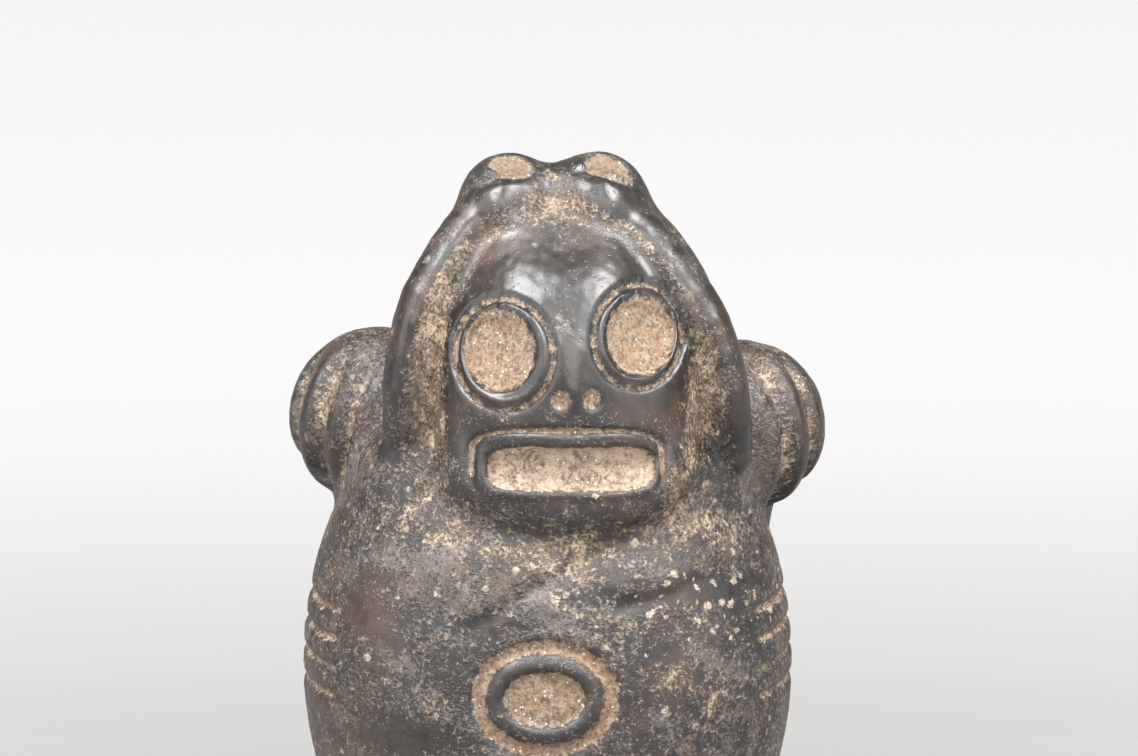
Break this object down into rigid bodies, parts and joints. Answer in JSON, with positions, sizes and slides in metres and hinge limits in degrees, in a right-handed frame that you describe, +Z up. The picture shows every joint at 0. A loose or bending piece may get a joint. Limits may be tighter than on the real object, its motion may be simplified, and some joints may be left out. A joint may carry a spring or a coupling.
{
  "type": "carved stone figure",
  "caption": "Squat dark stone figure with a skull-like face in a hood crowned by bosses, banded drawn-back shoulders, a ringed navel, folded legs and a low oval base.",
  "frame": {"origin": "centre of the oval base's flat underside", "axes": "+Z up along the figure's height, and the face looks along -Y"},
  "size_m": [0.0904, 0.0664, 0.1502],
  "materials": {
    "stone": "dark polished stone, with pale brown deposit in the grooves and pecked hollows"
  },
  "bodies": {
    "root": {"carved_figure": "stone"}
  },
  "joints": []
}
